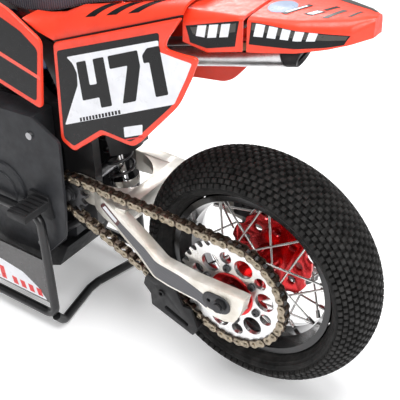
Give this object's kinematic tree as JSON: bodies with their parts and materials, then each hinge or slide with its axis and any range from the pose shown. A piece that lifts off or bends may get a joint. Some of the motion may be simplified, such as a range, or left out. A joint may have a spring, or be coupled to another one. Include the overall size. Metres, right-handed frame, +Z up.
{
  "type": "rc motorcycle",
  "caption": "Quarter-scale radio-controlled motocross motorcycle with sprung swingarm and fork, chain drive and wire stand.",
  "frame": {"origin": "middle of the box round the whole motorcycle, on the floor that its stand rests on", "axes": "+X forwards, +Y to the rider's left, +Z up"},
  "size_m": [0.5296, 0.1912, 0.3194],
  "materials": {
    "red_gloss": "moulded, gloss",
    "black_gloss": "moulded, gloss",
    "black_plastic": "moulded, fine texture",
    "grey_plastic": "moulded, satin",
    "seat_cover": "ribbed gripper cover",
    "tyre_rubber": "knobby tread",
    "rim_black": "black anodised",
    "spoke_steel": "drawn wire",
    "hub_red": "red anodised",
    "sprocket_alloy": "bright, machined",
    "chain_nickel": "nickel plated",
    "arm_alloy": "satin cast",
    "dark_metal": "black oxide",
    "bolt_steel": "machined",
    "disc_steel": "ground",
    "muffler_alloy": "satin rolled",
    "pipe_steel": "heat tinted",
    "frame_black": "satin black",
    "spring_black": "powder coated",
    "fork_black": "hard anodised",
    "slider_chrome": "polished",
    "grip_rubber": "ribbed",
    "bar_grey": "satin",
    "stand_black": "powder coated",
    "stand_card": "printed plate",
    "plate_white": "moulded, gloss",
    "battery_wrap": "shrink wrap"
  },
  "bodies": {
    "chassis": {"main_frame": "frame_black", "engine_case": "grey_plastic", "motor": "bolt_steel", "flywheel": "bolt_steel", "left_cover": "grey_plastic", "right_cover": "grey_plastic", "skid_plate": "black_plastic", "battery": "battery_wrap", "steering_servo": "black_gloss", "subframe": "frame_black", "seat": "seat_cover", "tank_cover": "black_plastic", "shrouds": "red_gloss", "left_side_panel": "red_gloss", "right_side_panel": "red_gloss", "upper_panels": "red_gloss", "tail_panel": "red_gloss", "rear_fender": "red_gloss", "muffler_can": "muffler_alloy", "muffler_cap": "black_plastic", "header_pipe": "pipe_steel", "mud_flap": "black_plastic", "footpegs": "black_plastic", "pivot_bolts": "bolt_steel"},
    "stand": {"stand_frame": "stand_black", "stand_plates": "stand_card"},
    "swingarm": {"swingarm": "arm_alloy", "axle_blocks": "dark_metal", "rear_axle": "dark_metal", "chain": "chain_nickel", "chain_guide": "black_plastic", "rear_caliper": "dark_metal"},
    "rear_wheel": {"rear_tyre": "tyre_rubber", "rear_rim": "rim_black", "rear_spokes": "spoke_steel", "rear_hub": "hub_red", "rear_sprocket": "sprocket_alloy", "rear_sprocket_bolts": "dark_metal", "rear_disc": "disc_steel"},
    "front_sprocket": {"front_sprocket": "dark_metal"},
    "shock_body": {"shock_body": "dark_metal", "shock_spring": "spring_black"},
    "shock_shaft": {"shock_shaft": "slider_chrome"},
    "steering": {"lower_clamp": "bar_grey", "upper_clamp": "bar_grey", "fork_tubes": "fork_black", "handlebar": "bar_grey", "grips": "grip_rubber", "levers": "black_plastic", "number_plate": "plate_white", "front_fender": "red_gloss"},
    "fork_lower": {"fork_sliders": "slider_chrome", "fork_guards": "black_plastic", "front_axle": "dark_metal", "front_caliper": "dark_metal"},
    "front_wheel": {"front_tyre": "tyre_rubber", "front_rim": "rim_black", "front_spokes": "spoke_steel", "front_hub": "hub_red", "front_disc": "disc_steel"}
  },
  "joints": [
    {"name": "swingarm_pivot", "type": "hinge", "parent": "chassis", "child": "swingarm", "pos_m": [-0.05373, 0, 0.11536], "axis": [0, 1, 0], "range_deg": [0, 20], "stiffness_Nm_per_rad": 14, "springref_deg": -3.44},
    {"name": "rear_wheel_spin", "type": "hinge", "parent": "swingarm", "child": "rear_wheel", "pos_m": [-0.18215, 0, 0.089], "axis": [0, 1, 0], "continuous": true, "deforming": ["chain"]},
    {"name": "front_sprocket_spin", "type": "hinge", "parent": "chassis", "child": "front_sprocket", "pos_m": [-0.05373, 0, 0.11536], "axis": [0, 1, 0], "continuous": true},
    {"name": "shock_swing", "type": "hinge", "parent": "chassis", "child": "shock_body", "pos_m": [-0.05415, 0, 0.201], "axis": [0, 1, 0], "range_deg": [0, 4.51]},
    {"name": "shock_stroke", "type": "slide", "parent": "shock_body", "child": "shock_shaft", "axis": [0.2083, 0, 0.9781], "range_m": [0, 0.00756], "deforming": ["shock_spring"]},
    {"name": "steering", "type": "hinge", "parent": "chassis", "child": "steering", "pos_m": [0.09123, 0, 0.25288], "axis": [-0.454, 0, 0.891], "range_deg": [-35, 35]},
    {"name": "fork_travel", "type": "slide", "parent": "steering", "child": "fork_lower", "axis": [-0.454, 0, 0.891], "range_m": [0, 0.035], "stiffness_N_per_m": 750, "springref_m": -0.008},
    {"name": "front_wheel_spin", "type": "hinge", "parent": "fork_lower", "child": "front_wheel", "pos_m": [0.17785, 0, 0.095], "axis": [0, 1, 0], "continuous": true},
    {"name": "stand_release", "type": "slide", "parent": "chassis", "child": "stand", "axis": [0, 0, -1], "range_m": [0, 0.05]}
  ],
  "couplings": [
    {"joint": "front_sprocket_spin", "follows": "rear_wheel_spin", "ratio": 3},
    {"joint": "shock_swing", "follows": "swingarm_pivot", "ratio": 0.22434},
    {"joint": "shock_stroke", "follows": "swingarm_pivot", "m_per_rad": 0.021601}
  ]
}
